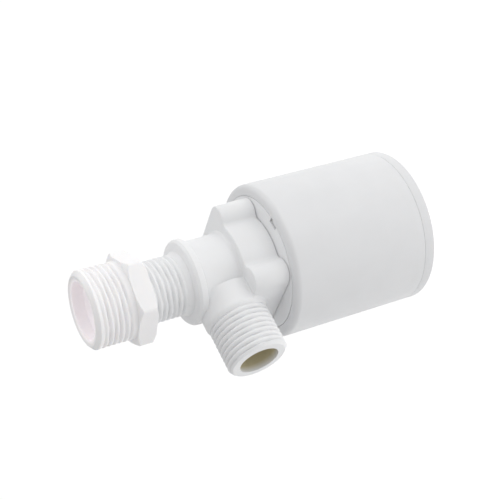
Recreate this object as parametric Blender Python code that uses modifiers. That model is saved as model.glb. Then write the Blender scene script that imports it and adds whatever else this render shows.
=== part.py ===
"""Float valve: a tank fill valve with a threaded bushing, a pilot-operated diaphragm and a hanging float.

Units are metres. The origin is the centre of the bushing's inlet face and +Z points up out of the inlet, so
"depth" below is the distance down from that face. The side inlet points along -X.
Run with: blender --background --python part.py
"""

import math

import bmesh
import bpy
from mathutils import Vector

MM = 0.001
GAP = 0.3 * MM  # between faces that touch
PIN_PLAY = 0.08 * MM  # radial play of a pin in its hole

# Pipe threads (parallel BSP, 14 threads to the inch)
PITCH = 1.814 * MM
THREAD_DEPTH = 1.162 * MM
HALF_INCH_RADIUS = 10.478 * MM
THREE_QUARTER_RADIUS = 13.22 * MM

# Bushing
BUSHING_LENGTH = 20.5 * MM
BUSHING_THREAD_TOP = 1.5 * MM
BUSHING_THREAD_TURNS = 6
BUSHING_FACE_RADIUS = 12.0 * MM
BUSHING_MOUTH_RADIUS = 9.8 * MM
BUSHING_WEB_TOP = 5.5 * MM
BUSHING_WEB_BOTTOM = 8.0 * MM
BUSHING_WEB_BORE = 7.6 * MM
HEX_TOP = 13.8 * MM
HEX_ACROSS_FLATS = 28.2 * MM
HEX_CHAMFER_RADIUS = 14.3 * MM
HEX_CHAMFER = 1.0 * MM
HEX_TURN = math.radians(11.0)

# Housing
INLET_END = 9.8 * MM
INLET_THREAD_TURNS = 12
INLET_BORE = 7.0 * MM
ROOT_RADIUS = 9.9 * MM
COLLAR_TOP = 35.0 * MM
COLLAR_BOTTOM = 38.2 * MM
COLLAR_RADIUS = 14.8 * MM
COLLAR_ROOT_RADIUS = 11.8 * MM
NECK_RADIUS = 13.35 * MM
CHAMBER_RADIUS = 10.0 * MM
CHAMBER_TOP = 41.0 * MM
CHAMBER_BOTTOM = 50.5 * MM
DRUM_TOP = 51.5 * MM
DRUM_BOTTOM = 64.0 * MM
DRUM_RADIUS = 17.0 * MM
DRUM_BORE = 15.2 * MM
DRUM_ROOF = 53.5 * MM
BOSS_CIRCLE = 18.0 * MM
BOSS_RADIUS = 4.7 * MM
BOSS_STEP = 0.1 * MM  # the bosses' tops lie this far under the drum's
TRIM = 0.5 * MM  # spare length that is cut off in one plane
SEAT_BORE = 6.5 * MM
SEAT_RADIUS = 8.0 * MM
SEAT_DEPTH = 61.7 * MM
CLAMP_RING_TOP = 55.5 * MM
CLAMP_RING_RADIUS = 13.4 * MM
CLAMP_RING_BORE = 11.6 * MM
RIB_WIDTH = 2.4 * MM

# Side inlet
BRANCH_DEPTH = 47.69 * MM
BRANCH_REACH = 34.98 * MM
BRANCH_ROOT_RADIUS = 10.9 * MM
BRANCH_THREAD_START = 18.5 * MM
BRANCH_THREAD_TURNS = 8
BRANCH_RIM_RADIUS = 9.3 * MM
BRANCH_BORE = 6.5 * MM
BORE_STEP = 0.05 * MM  # the bore is this much wider outside the neck

# Cover
FLANGE_TOP = DRUM_BOTTOM + GAP
FLANGE_BOTTOM = 66.8 * MM
FLANGE_RADIUS = 22.95 * MM
SKIRT_BORE = 21.4 * MM
SKIRT_BOTTOM = 73.5 * MM
HUB_TOP = 63.4 * MM
HUB_BOTTOM = 71.5 * MM
HUB_FLOOR = 69.5 * MM
NOTCH_WIDTH = 4.0 * MM
NOTCH_FLOOR_RADIUS = 21.2 * MM
SLOT_INNER = 13.8 * MM
SLOT_OUTER = 15.2 * MM
SLOT_HALF_ANGLE = math.radians(32.0)

# Screws
SCREW_SHANK_RADIUS = 1.4 * MM
SCREW_HEAD_RADIUS = 2.9 * MM
SCREW_TIP = 56.0 * MM
SCREW_HEAD_BOTTOM = 69.1 * MM
RECESS_REACH = 1.7 * MM
RECESS_HALF_WIDTH = 0.35 * MM

# Diaphragm group
RUBBER_TOP = SEAT_DEPTH + GAP
RUBBER_BOTTOM = RUBBER_TOP + 1.1 * MM
RUBBER_RADIUS = 13.2 * MM
RUBBER_ROLL = 0.8 * MM
STEM_RADIUS = 2.0 * MM
PLATE_BOTTOM = 64.9 * MM
PLATE_RADIUS = 8.8 * MM
GUIDE_TOP = 54.5 * MM
NEEDLE_OFFSET = 5.0 * MM
NEEDLE_RADIUS = 0.45 * MM
SPRING_RADIUS = 7.2 * MM
SPRING_WIRE = 0.35 * MM
SPRING_TURNS = 3

# Pilot lever, in its closed pose: u runs from the fulcrum towards the hanger, w is up
PIN_RADIUS = 1.25 * MM
FULCRUM_X = 6.0 * MM
FULCRUM_DEPTH = 77.5 * MM
LEVER_ARM = 16.0 * MM
LEVER_SWING = math.radians(18.0)
LEVER_HALF_WIDTH = 3.2 * MM
LEVER_TOP = 2.2 * MM
PAD_TOP = 3.0 * MM
PAD_RADIUS = 2.5 * MM
PAD_SEAT = 1.4 * MM  # how deep the pad sits in the lever
PILOT_BORE = 0.5 * MM
EAR_INNER = 3.6 * MM
EAR_OUTER = 5.6 * MM
EAR_RADIUS = 2.2 * MM
SLOT_PLAY = 0.35 * MM

# Float
FLOAT_TOP = 64.35 * MM
FLOAT_RADIUS = 26.95 * MM
FLOAT_BORE = 25.2 * MM
FLOAT_LIP_RADIUS = 23.2 * MM
FLOAT_LIP_BOTTOM = 66.5 * MM
FLOAT_SEAM = 115.2 * MM
FLOAT_BOTTOM = 119.2 * MM
WELL_BORE = 23.3 * MM
WELL_RADIUS = 24.7 * MM
WELL_FLOOR = 86.5 * MM
WELL_BOTTOM = 88.3 * MM
KEY_RADIUS = 21.6 * MM
KEY_WIDTH = 3.0 * MM
KEY_TOP = 64.9 * MM
KEY_BOTTOM = 84.0 * MM

COARSE = 24
FINE = 40
BOSS_SIDES = 32
FLOAT_SIDES = 64

COLOURS = {
    "white_plastic": ((0.86, 0.87, 0.86), 0.38, 0.0),
    "bright_plastic": ((0.93, 0.93, 0.94), 0.34, 0.0),
    "acetal": ((0.80, 0.80, 0.77), 0.42, 0.0),
    "black_rubber": ((0.03, 0.03, 0.03), 0.75, 0.0),
    "stainless": ((0.62, 0.62, 0.60), 0.28, 1.0),
}


def collection(name):
    made = bpy.data.collections.new(name)
    bpy.context.scene.collection.children.link(made)
    return made


def clear_scene():
    for obj in list(bpy.data.objects):
        bpy.data.objects.remove(obj, do_unlink=True)


def material(name):
    found = bpy.data.materials.get(name)
    if found:
        return found
    colour, roughness, metallic = COLOURS[name]
    made = bpy.data.materials.new(name)
    made.use_nodes = True
    shader = made.node_tree.nodes["Principled BSDF"]
    shader.inputs["Base Color"].default_value = (*colour, 1.0)
    shader.inputs["Roughness"].default_value = roughness
    shader.inputs["Metallic"].default_value = metallic
    return made


def rounded(corners, steps=4):
    """The outline through corners of (x, y, radius), each corner with a radius turned into a tangent arc."""
    points = []
    count = len(corners)
    for i, (x, y, radius) in enumerate(corners):
        at = Vector((x, y))
        if not radius:
            points.append(at)
            continue
        back = (Vector(corners[i - 1][:2]) - at).normalized()
        ahead = (Vector(corners[(i + 1) % count][:2]) - at).normalized()
        half = back.angle(ahead) / 2
        centre = at + (back + ahead).normalized() * radius / math.sin(half)
        first = at + back * radius / math.tan(half) - centre
        turn = first.angle_signed(at + ahead * radius / math.tan(half) - centre)
        for k in range(steps + 1):
            angle = -turn * k / steps
            cos, sin = math.cos(angle), math.sin(angle)
            points.append(centre + Vector((first.x * cos - first.y * sin, first.x * sin + first.y * cos)))
    return points


def thread(crest_radius, start, turns):
    """The side of a thread as turned V rings, from start down."""
    points = []
    for k in range(turns):
        top = start + k * PITCH
        points.append((crest_radius - THREAD_DEPTH, top, 0))
        points.append((crest_radius, top + PITCH / 2, 0))
    points.append((crest_radius - THREAD_DEPTH, start + turns * PITCH, 0))
    return points


def turned(name, corners, group, steps=FINE, closed=True, axis="Z"):
    """A turned solid about Z or X from corners of (radius, depth, rounding), outer side from top to bottom.

    Depth runs towards -Z, or towards -X.
    """
    outline = rounded(corners)
    mesh = bpy.data.meshes.new(name)
    edges = [(i, i + 1) for i in range(len(outline) - 1)]
    if closed:
        edges.append((len(outline) - 1, 0))
    places = [(p.x, 0.0, -p.y) if axis == "Z" else (-p.y, p.x, 0.0) for p in outline]
    mesh.from_pydata(places, edges, [])
    obj = bpy.data.objects.new(name, mesh)
    group.objects.link(obj)
    screw = obj.modifiers.new("turn", "SCREW")
    screw.axis = axis
    screw.steps = steps
    screw.render_steps = steps
    screw.use_merge_vertices = True
    screw.merge_threshold = 0.00001
    return obj


def solid(name, corners, group, steps=FINE, axis="Z"):
    """A turned solid whose first and last corners are on the axis."""
    return turned(name, corners, group, steps, closed=False, axis=axis)


def rod(name, radius, start, end, group, steps=COARSE):
    """A cylinder between two points."""
    run = Vector(end) - Vector(start)
    work = bmesh.new()
    bmesh.ops.create_cone(
        work, cap_ends=True, segments=steps, radius1=radius, radius2=radius, depth=run.length
    )
    mesh = bpy.data.meshes.new(name)
    work.to_mesh(mesh)
    work.free()
    obj = bpy.data.objects.new(name, mesh)
    obj.rotation_mode = "QUATERNION"
    obj.rotation_quaternion = run.to_track_quat("Z", "Y")
    obj.location = (Vector(start) + Vector(end)) / 2
    group.objects.link(obj)
    return obj


def block(name, low, high, group):
    """A box between two corners."""
    work = bmesh.new()
    bmesh.ops.create_cube(work, size=1.0)
    low, high = Vector(low), Vector(high)
    bmesh.ops.scale(work, vec=high - low, verts=work.verts)
    bmesh.ops.translate(work, vec=(low + high) / 2, verts=work.verts)
    mesh = bpy.data.meshes.new(name)
    work.to_mesh(mesh)
    work.free()
    obj = bpy.data.objects.new(name, mesh)
    group.objects.link(obj)
    return obj


def plate(name, outline, thickness, group):
    """A flat outline in XY, extruded to both sides of the plane, as a closed mesh."""
    curve = bpy.data.curves.new(name, "CURVE")
    curve.dimensions = "2D"
    curve.fill_mode = "BOTH"
    curve.extrude = thickness / 2
    spline = curve.splines.new("POLY")
    spline.points.add(len(outline) - 1)
    for point, (x, y) in zip(spline.points, outline):
        point.co = (x, y, 0.0, 1.0)
    spline.use_cyclic_u = True
    return as_mesh(name, curve, group)


def as_mesh(name, curve, group):
    """A curve's evaluated shape as a mesh object with its caps welded."""
    holder = bpy.data.objects.new(name + "_curve", curve)
    bpy.context.scene.collection.objects.link(holder)
    graph = bpy.context.evaluated_depsgraph_get()
    mesh = bpy.data.meshes.new_from_object(holder.evaluated_get(graph))
    mesh.name = name
    bpy.data.objects.remove(holder)
    work = bmesh.new()
    work.from_mesh(mesh)
    bmesh.ops.remove_doubles(work, verts=work.verts, dist=0.000001)
    bmesh.ops.recalc_face_normals(work, faces=work.faces)
    work.to_mesh(mesh)
    work.free()
    obj = bpy.data.objects.new(name, mesh)
    group.objects.link(obj)
    return obj


def combine(target, tool, operation="DIFFERENCE"):
    """A Boolean of target with tool, which becomes a hidden helper."""
    tool.hide_render = True
    tool.display_type = "WIRE"
    boolean = target.modifiers.new(tool.name, "BOOLEAN")
    boolean.object = tool
    boolean.operation = operation


def around(count, start=0.0):
    """Evenly spaced angles."""
    return [start + 2 * math.pi * k / count for k in range(count)]


def polar(radius, angle, depth):
    """A point at a radius, an angle about Z and a depth."""
    return Vector((radius * math.cos(angle), radius * math.sin(angle), -depth))


BOSS_ANGLES = around(4, math.radians(45.0))
VALLEY_ANGLES = around(4)
KEY_ANGLES = around(2, math.radians(90.0))


class Build:
    """The two collections that every piece needs, and one method for each sub-part."""

    def __init__(self):
        self.parts = collection("float_valve")
        self.tools = collection("cutters")

    def finish(self, obj, colour):
        obj.data.materials.append(material(colour))
        return obj

    # Bushing and its washer

    def adapter_bushing(self):
        corners = [
            (BUSHING_MOUTH_RADIUS, 0.0, 0),
            (BUSHING_FACE_RADIUS, 0.0, 0),
            (THREE_QUARTER_RADIUS - THREAD_DEPTH, BUSHING_THREAD_TOP - 0.2 * MM, 0),
            *thread(THREE_QUARTER_RADIUS, BUSHING_THREAD_TOP, BUSHING_THREAD_TURNS),
            (THREE_QUARTER_RADIUS, HEX_TOP - 0.6 * MM, 0),
            (THREE_QUARTER_RADIUS, HEX_TOP + 1.0 * MM, 0),
            (THREE_QUARTER_RADIUS - THREAD_DEPTH, BUSHING_LENGTH, 0),
            (HALF_INCH_RADIUS + GAP, BUSHING_LENGTH, 0),
            (HALF_INCH_RADIUS + GAP, BUSHING_WEB_BOTTOM, 0),
            (BUSHING_WEB_BORE, BUSHING_WEB_BOTTOM, 0),
            (BUSHING_WEB_BORE, BUSHING_WEB_TOP, 0),
            (BUSHING_MOUTH_RADIUS, BUSHING_WEB_TOP - 1.0 * MM, 0),
        ]
        body = turned("adapter_bushing", corners, self.parts)
        combine(body, self.hexagon(), "UNION")
        return self.finish(body, "bright_plastic")

    def hexagon(self):
        corner_radius = HEX_ACROSS_FLATS / 2 / math.cos(math.pi / 6)
        outline = [polar(corner_radius, a, 0.0).xy for a in around(6, HEX_TURN + math.radians(30.0))]
        height = BUSHING_LENGTH - HEX_TOP
        hexagon = plate("bushing_hexagon", outline, height, self.tools)
        hexagon.location.z = -(HEX_TOP + height / 2)
        chamfers = solid(
            "hexagon_chamfers",
            [
                (0.0, HEX_TOP - GAP, 0),
                (HEX_CHAMFER_RADIUS, HEX_TOP - GAP, 0),
                (HEX_CHAMFER_RADIUS, HEX_TOP, 0),
                (corner_radius + GAP, HEX_TOP + HEX_CHAMFER, 0),
                (corner_radius + GAP, BUSHING_LENGTH - HEX_CHAMFER, 0),
                (HEX_CHAMFER_RADIUS, BUSHING_LENGTH, 0),
                (HEX_CHAMFER_RADIUS, BUSHING_LENGTH + GAP, 0),
                (0.0, BUSHING_LENGTH + GAP, 0),
            ],
            self.tools,
        )
        combine(hexagon, chamfers, "INTERSECT")
        bore = rod(
            "hexagon_bore",
            HALF_INCH_RADIUS + 1.0 * MM,
            (0.0, 0.0, -(BUSHING_LENGTH + 2.0 * MM)),
            (0.0, 0.0, -(HEX_TOP - 2.0 * MM)),
            self.tools,
            FINE,
        )
        combine(hexagon, bore)
        return hexagon

    def adapter_seal_washer(self):
        corners = [
            (BUSHING_WEB_BORE, BUSHING_WEB_BOTTOM + GAP / 2, 0),
            (HALF_INCH_RADIUS - GAP, BUSHING_WEB_BOTTOM + GAP / 2, 0),
            (HALF_INCH_RADIUS - GAP, INLET_END - GAP / 2, 0),
            (BUSHING_WEB_BORE, INLET_END - GAP / 2, 0),
        ]
        return self.finish(turned("adapter_seal_washer", corners, self.parts), "black_rubber")

    # Housing

    def valve_housing(self):
        thread_start = INLET_END + 0.8 * MM
        root = HALF_INCH_RADIUS - THREAD_DEPTH
        corners = [
            (0.0, INLET_END, 0),
            (root - 0.3 * MM, INLET_END, 0),
            *thread(HALF_INCH_RADIUS, thread_start, INLET_THREAD_TURNS),
            (ROOT_RADIUS, thread_start + (INLET_THREAD_TURNS + 0.3) * PITCH, 0),
            (ROOT_RADIUS, COLLAR_TOP - 1.2 * MM, 0),
            (COLLAR_ROOT_RADIUS, COLLAR_TOP, 0),
            (COLLAR_RADIUS, COLLAR_TOP, 2.1 * MM),
            (COLLAR_RADIUS, COLLAR_BOTTOM, 0.7 * MM),
            (NECK_RADIUS, COLLAR_BOTTOM, 0),
            (NECK_RADIUS, DRUM_TOP, 1.5 * MM),
            (DRUM_RADIUS, DRUM_TOP, 1.0 * MM),
            (DRUM_RADIUS, DRUM_BOTTOM + TRIM, 0),
            (0.0, DRUM_BOTTOM + TRIM, 0),
        ]
        body = solid("valve_housing", corners, self.parts)
        for i, angle in enumerate(BOSS_ANGLES):
            combine(body, self.boss(i, angle), "UNION")
        combine(body, self.saddle(-1), "UNION")
        combine(body, self.saddle(1), "UNION")
        combine(body, self.branch_bore())
        combine(body, self.branch(), "UNION")
        combine(body, self.drum_trim())
        combine(body, self.interior())
        for i, angle in enumerate(BOSS_ANGLES):
            hole = rod(
                f"boss_hole_{i + 1}",
                SCREW_SHANK_RADIUS + GAP,
                polar(BOSS_CIRCLE, angle, DRUM_BOTTOM + 2.0 * MM),
                polar(BOSS_CIRCLE, angle, SCREW_TIP - 1.0 * MM),
                self.tools,
            )
            combine(body, hole)
        return self.finish(body, "white_plastic")

    def boss(self, i, angle):
        corners = [
            (0.0, DRUM_TOP + BOSS_STEP, 0),
            (BOSS_RADIUS, DRUM_TOP + BOSS_STEP, 1.0 * MM),
            (BOSS_RADIUS, DRUM_BOTTOM + 2 * TRIM, 0),
            (0.0, DRUM_BOTTOM + 2 * TRIM, 0),
        ]
        boss = solid(f"boss_{i + 1}", corners, self.tools, BOSS_SIDES)
        boss.location = polar(BOSS_CIRCLE, angle, 0.0)
        return boss

    def saddle(self, side):
        """The flat wall between two bosses, under the side inlet or opposite it."""
        half = BOSS_CIRCLE * math.sin(BOSS_ANGLES[0])
        near, far = sorted((side * DRUM_RADIUS / 2, side * (half + BOSS_RADIUS - BOSS_STEP)))
        low = (near, -half, -(DRUM_BOTTOM + (4 + side) * TRIM))
        high = (far, half, -(DRUM_TOP + 2 * BOSS_STEP))
        return block(f"saddle_{side + 2}", low, high, self.tools)

    def drum_trim(self):
        """Cuts drum and bosses off in one plane."""
        reach = 2 * DRUM_RADIUS
        low = (-reach, -reach, -(DRUM_BOTTOM + 8 * TRIM))
        return block("drum_trim", low, (reach, reach, -DRUM_BOTTOM), self.tools)

    def branch(self):
        root = HALF_INCH_RADIUS - THREAD_DEPTH
        start = CHAMBER_RADIUS / 2
        corners = [
            (BRANCH_BORE + BORE_STEP, start, 0),
            (BRANCH_ROOT_RADIUS, start, 0),
            (BRANCH_ROOT_RADIUS, BRANCH_THREAD_START - 1.0 * MM, 0),
            (root, BRANCH_THREAD_START, 0),
            *thread(HALF_INCH_RADIUS, BRANCH_THREAD_START + 0.1 * MM, BRANCH_THREAD_TURNS),
            (HALF_INCH_RADIUS, BRANCH_REACH - 1.2 * MM, 0),
            (BRANCH_RIM_RADIUS, BRANCH_REACH, 0),
            (BRANCH_BORE + BORE_STEP, BRANCH_REACH, 0),
        ]
        branch = turned("side_inlet", corners, self.tools, axis="X")
        branch.location.z = -BRANCH_DEPTH
        return branch

    def branch_bore(self):
        corners = [
            (0.0, CHAMBER_RADIUS / 2, 0),
            (BRANCH_BORE, CHAMBER_RADIUS / 2, 0),
            (BRANCH_BORE, NECK_RADIUS + 3.0 * MM, 0),
            (0.0, NECK_RADIUS + 3.0 * MM, 0),
        ]
        bore = solid("side_inlet_bore", corners, self.tools, axis="X")
        bore.location.z = -BRANCH_DEPTH
        return bore

    def interior(self):
        corners = [
            (0.0, INLET_END - 1.0 * MM, 0),
            (INLET_BORE, INLET_END - 1.0 * MM, 0),
            (INLET_BORE, COLLAR_BOTTOM, 0),
            (CHAMBER_RADIUS, CHAMBER_TOP, 0),
            (CHAMBER_RADIUS, CHAMBER_BOTTOM, 0),
            (SEAT_BORE, DRUM_ROOF, 0),
            (SEAT_BORE, SEAT_DEPTH, 0),
            (SEAT_RADIUS, SEAT_DEPTH, 0),
            (SEAT_RADIUS, DRUM_ROOF, 0),
            (DRUM_BORE, DRUM_ROOF, 0),
            (DRUM_BORE, DRUM_BOTTOM + 1.0 * MM, 0),
            (0.0, DRUM_BOTTOM + 1.0 * MM, 0),
        ]
        interior = solid("housing_interior", corners, self.tools)
        combine(interior, self.clamp_ring())
        return interior

    def clamp_ring(self):
        """The ring that the diaphragm is clamped to, on four ribs."""
        corners = [
            (CLAMP_RING_BORE, CLAMP_RING_TOP, 0),
            (CLAMP_RING_RADIUS, CLAMP_RING_TOP, 0),
            (CLAMP_RING_RADIUS, SEAT_DEPTH, 0),
            (CLAMP_RING_BORE, SEAT_DEPTH, 0),
        ]
        ring = turned("clamp_ring", corners, self.tools)
        for i, angle in enumerate(BOSS_ANGLES):
            low = (CLAMP_RING_BORE + 0.8 * MM, -RIB_WIDTH / 2, -(SEAT_DEPTH - 0.5 * MM))
            high = (DRUM_BORE + 0.8 * MM, RIB_WIDTH / 2, -(CLAMP_RING_TOP + 0.5 * MM))
            rib = block(f"clamp_rib_{i + 1}", low, high, self.tools)
            rib.rotation_euler.z = angle
            combine(ring, rib, "UNION")
        return ring

    # Cover and screws

    def bonnet_cover(self):
        corners = [
            (CLAMP_RING_BORE, HUB_TOP, 0),
            (CLAMP_RING_RADIUS, HUB_TOP, 0),
            (CLAMP_RING_RADIUS, FLANGE_TOP, 0),
            (FLANGE_RADIUS, FLANGE_TOP, 0.6 * MM),
            (FLANGE_RADIUS, SKIRT_BOTTOM, 0),
            (SKIRT_BORE, SKIRT_BOTTOM, 0),
            (SKIRT_BORE, FLANGE_BOTTOM, 0),
            (CLAMP_RING_RADIUS, FLANGE_BOTTOM, 0),
            (CLAMP_RING_RADIUS, HUB_BOTTOM, 0.8 * MM),
            (STEM_RADIUS + GAP, HUB_BOTTOM, 0),
            (STEM_RADIUS + GAP, HUB_FLOOR, 0),
            (CLAMP_RING_BORE, HUB_FLOOR, 0),
        ]
        cover = turned("bonnet_cover", corners, self.parts)
        for side in (-1, 1):
            combine(cover, self.fulcrum_ear(side), "UNION")
        for i, angle in enumerate(VALLEY_ANGLES):
            combine(cover, self.outlet_slot(i, angle))
        for i, angle in enumerate(BOSS_ANGLES):
            hole = rod(
                f"flange_hole_{i + 1}",
                SCREW_SHANK_RADIUS + GAP,
                polar(BOSS_CIRCLE, angle, FLANGE_BOTTOM + 2.0 * MM),
                polar(BOSS_CIRCLE, angle, FLANGE_TOP - 2.0 * MM),
                self.tools,
            )
            combine(cover, hole)
        for i, angle in enumerate(KEY_ANGLES):
            combine(cover, self.flange_notch(i, angle))
        combine(cover, self.needle_socket())
        combine(cover, self.pin_hole("fulcrum_hole", FULCRUM_X, FULCRUM_DEPTH))
        return self.finish(cover, "white_plastic")

    def fulcrum_ear(self, side):
        """One ear under the hub that holds the lever's pin."""
        corners = [
            (FULCRUM_X - 1.25 * EAR_RADIUS, -(HUB_FLOOR + 1.0 * MM), 0),
            (FULCRUM_X + 1.25 * EAR_RADIUS, -(HUB_FLOOR + 1.0 * MM), 0),
            (FULCRUM_X + EAR_RADIUS, -(FULCRUM_DEPTH + EAR_RADIUS), 0.95 * EAR_RADIUS),
            (FULCRUM_X - EAR_RADIUS, -(FULCRUM_DEPTH + EAR_RADIUS), 0.95 * EAR_RADIUS),
        ]
        return self.ear(f"fulcrum_ear_{side + 2}", corners, side)

    def ear(self, name, corners, side):
        ear = plate(name, rounded(corners), EAR_OUTER - EAR_INNER, self.tools)
        ear.rotation_euler.x = math.pi / 2
        ear.location.y = side * (EAR_OUTER + EAR_INNER) / 2
        return ear

    def pin_hole(self, name, x, depth):
        start = (x, -EAR_OUTER - 1.0 * MM, -depth)
        end = (x, EAR_OUTER + 1.0 * MM, -depth)
        return rod(name, PIN_RADIUS + PIN_PLAY, start, end, self.tools)

    def outlet_slot(self, i, angle):
        """One of the curved slots that the water leaves by."""
        steps = 8
        sweep = [SLOT_HALF_ANGLE * (2 * k / steps - 1) for k in range(steps + 1)]
        outer = [polar(SLOT_OUTER, angle + a, 0.0).xy for a in sweep]
        inner = [polar(SLOT_INNER, angle + a, 0.0).xy for a in reversed(sweep)]
        slot = plate(f"outlet_slot_{i + 1}", outer + inner, 6.0 * MM, self.tools)
        slot.location.z = -(FLANGE_TOP + FLANGE_BOTTOM) / 2
        return slot

    def flange_notch(self, i, angle):
        low = (NOTCH_FLOOR_RADIUS, -NOTCH_WIDTH / 2, -(SKIRT_BOTTOM + 1.0 * MM))
        high = (FLANGE_RADIUS + 1.0 * MM, NOTCH_WIDTH / 2, -(FLANGE_TOP - 1.0 * MM))
        notch = block(f"flange_notch_{i + 1}", low, high, self.tools)
        notch.rotation_euler.z = angle
        return notch

    def needle_socket(self):
        start = (0.0, NEEDLE_OFFSET, -(HUB_FLOOR + 1.2 * MM))
        end = (0.0, NEEDLE_OFFSET, -(HUB_FLOOR - 1.0 * MM))
        return rod("needle_socket", NEEDLE_RADIUS + PIN_PLAY, start, end, self.tools)

    def cover_screw(self, i, angle):
        corners = [
            (0.0, SCREW_TIP, 0),
            (0.6 * SCREW_SHANK_RADIUS, SCREW_TIP, 0),
            (SCREW_SHANK_RADIUS, SCREW_TIP + 1.0 * MM, 0),
            (SCREW_SHANK_RADIUS, FLANGE_BOTTOM + GAP, 0),
            (SCREW_HEAD_RADIUS, FLANGE_BOTTOM + GAP, 0),
            (SCREW_HEAD_RADIUS, SCREW_HEAD_BOTTOM, 0.9 * MM),
            (0.0, SCREW_HEAD_BOTTOM, 0),
        ]
        screw = solid(f"cover_screw_{i + 1}", corners, self.parts, COARSE)
        screw.location = polar(BOSS_CIRCLE, angle, 0.0)
        for k, turn in enumerate((0.0, math.pi / 2)):
            low = (-RECESS_REACH, -RECESS_HALF_WIDTH, -(SCREW_HEAD_BOTTOM + 0.5 * MM))
            high = (RECESS_REACH, RECESS_HALF_WIDTH, -(SCREW_HEAD_BOTTOM - 1.0 * MM))
            recess = block(f"screw_{i + 1}_recess_{k + 1}", low, high, self.tools)
            recess.location = screw.location
            recess.rotation_euler.z = turn
            combine(screw, recess)
        return self.finish(screw, "stainless")

    # Diaphragm group

    def diaphragm(self):
        corners = [
            (STEM_RADIUS + GAP, RUBBER_TOP, 0),
            (PLATE_RADIUS + 0.4 * MM, RUBBER_TOP, 0),
            (PLATE_RADIUS + 1.2 * MM, RUBBER_TOP + RUBBER_ROLL, 0),
            (PLATE_RADIUS + 1.8 * MM, RUBBER_TOP + RUBBER_ROLL, 0),
            (CLAMP_RING_BORE, RUBBER_TOP, 0),
            (RUBBER_RADIUS, RUBBER_TOP, 0),
            (RUBBER_RADIUS, RUBBER_BOTTOM, 0),
            (CLAMP_RING_BORE, RUBBER_BOTTOM, 0),
            (PLATE_RADIUS + 2.0 * MM, RUBBER_BOTTOM + RUBBER_ROLL, 0),
            (PLATE_RADIUS + 1.0 * MM, RUBBER_BOTTOM + RUBBER_ROLL, 0),
            (PLATE_RADIUS + 0.1 * MM, RUBBER_BOTTOM, 0),
            (STEM_RADIUS + GAP, RUBBER_BOTTOM, 0),
        ]
        rubber = turned("diaphragm", corners, self.parts)
        combine(rubber, self.bleed_hole("rubber_bleed_hole", RUBBER_TOP, RUBBER_BOTTOM))
        return self.finish(rubber, "black_rubber")

    def bleed_hole(self, name, top, bottom):
        start = (0.0, NEEDLE_OFFSET, -(bottom + 1.0 * MM))
        end = (0.0, NEEDLE_OFFSET, -(top - 1.0 * MM))
        return rod(name, NEEDLE_RADIUS + GAP, start, end, self.tools)

    def diaphragm_plate(self):
        top = RUBBER_BOTTOM + GAP
        corners = [
            (STEM_RADIUS + GAP, top, 0),
            (PLATE_RADIUS, top, 0),
            (PLATE_RADIUS, PLATE_BOTTOM, 0.5 * MM),
            (STEM_RADIUS + GAP, PLATE_BOTTOM, 0),
        ]
        backing = turned("diaphragm_plate", corners, self.parts)
        combine(backing, self.bleed_hole("plate_bleed_hole", top, PLATE_BOTTOM))
        return self.finish(backing, "acetal")

    def diaphragm_guide(self):
        """The winged guide in the seat's bore, with the stem that goes through rubber and plate."""
        flange_radius = NEEDLE_OFFSET - NEEDLE_RADIUS - 2 * GAP
        corners = [
            (0.0, GUIDE_TOP, 0),
            (STEM_RADIUS, GUIDE_TOP, 0.6 * MM),
            (STEM_RADIUS, SEAT_DEPTH - 1.2 * MM, 0),
            (flange_radius, SEAT_DEPTH - 1.2 * MM, 0),
            (flange_radius, SEAT_DEPTH, 0),
            (STEM_RADIUS, SEAT_DEPTH, 0),
            (STEM_RADIUS, PLATE_BOTTOM, 0),
            (0.0, PLATE_BOTTOM, 0),
        ]
        guide = solid("diaphragm_guide", corners, self.parts, COARSE)
        for i, angle in enumerate(around(3, math.radians(30.0))):
            low = (STEM_RADIUS / 2, -0.5 * MM, -(SEAT_DEPTH - 2.0 * MM))
            high = (SEAT_BORE - GAP, 0.5 * MM, -(GUIDE_TOP + 1.0 * MM))
            wing = block(f"guide_wing_{i + 1}", low, high, self.tools)
            wing.rotation_euler.z = angle
            combine(guide, wing, "UNION")
        return self.finish(guide, "acetal")

    def metering_needle(self):
        start = (0.0, NEEDLE_OFFSET, -(HUB_FLOOR + 1.0 * MM))
        end = (0.0, NEEDLE_OFFSET, -(SEAT_DEPTH - 2.5 * MM))
        needle = rod("metering_needle", NEEDLE_RADIUS, start, end, self.parts, 12)
        return self.finish(needle, "stainless")

    def diaphragm_spring(self):
        top = PLATE_BOTTOM + GAP + SPRING_WIRE
        bottom = HUB_FLOOR - GAP - SPRING_WIRE
        steps = 14 * SPRING_TURNS
        curve = bpy.data.curves.new("diaphragm_spring", "CURVE")
        curve.dimensions = "3D"
        curve.bevel_depth = SPRING_WIRE
        curve.bevel_resolution = 2
        curve.use_fill_caps = True
        spline = curve.splines.new("POLY")
        spline.points.add(steps)
        for k, point in enumerate(spline.points):
            share = k / steps
            at = polar(SPRING_RADIUS, 2 * math.pi * SPRING_TURNS * share, top + (bottom - top) * share)
            point.co = (*at, 1.0)
        return self.finish(as_mesh("diaphragm_spring", curve, self.parts), "stainless")

    # Pilot group

    def pilot_seat(self):
        tip = FULCRUM_DEPTH - PAD_TOP - GAP
        corners = [
            (PILOT_BORE, HUB_FLOOR + GAP, 0),
            (STEM_RADIUS, HUB_FLOOR + GAP, 0),
            (STEM_RADIUS, HUB_BOTTOM + GAP, 0),
            (1.4 * STEM_RADIUS, HUB_BOTTOM + GAP, 0),
            (1.4 * STEM_RADIUS, HUB_BOTTOM + 1.1 * MM, 0),
            (0.8 * STEM_RADIUS, HUB_BOTTOM + 1.1 * MM, 0),
            (PILOT_BORE + GAP, tip, 0),
            (PILOT_BORE, tip, 0),
        ]
        return self.finish(turned("pilot_seat", corners, self.parts, COARSE), "acetal")

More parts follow.
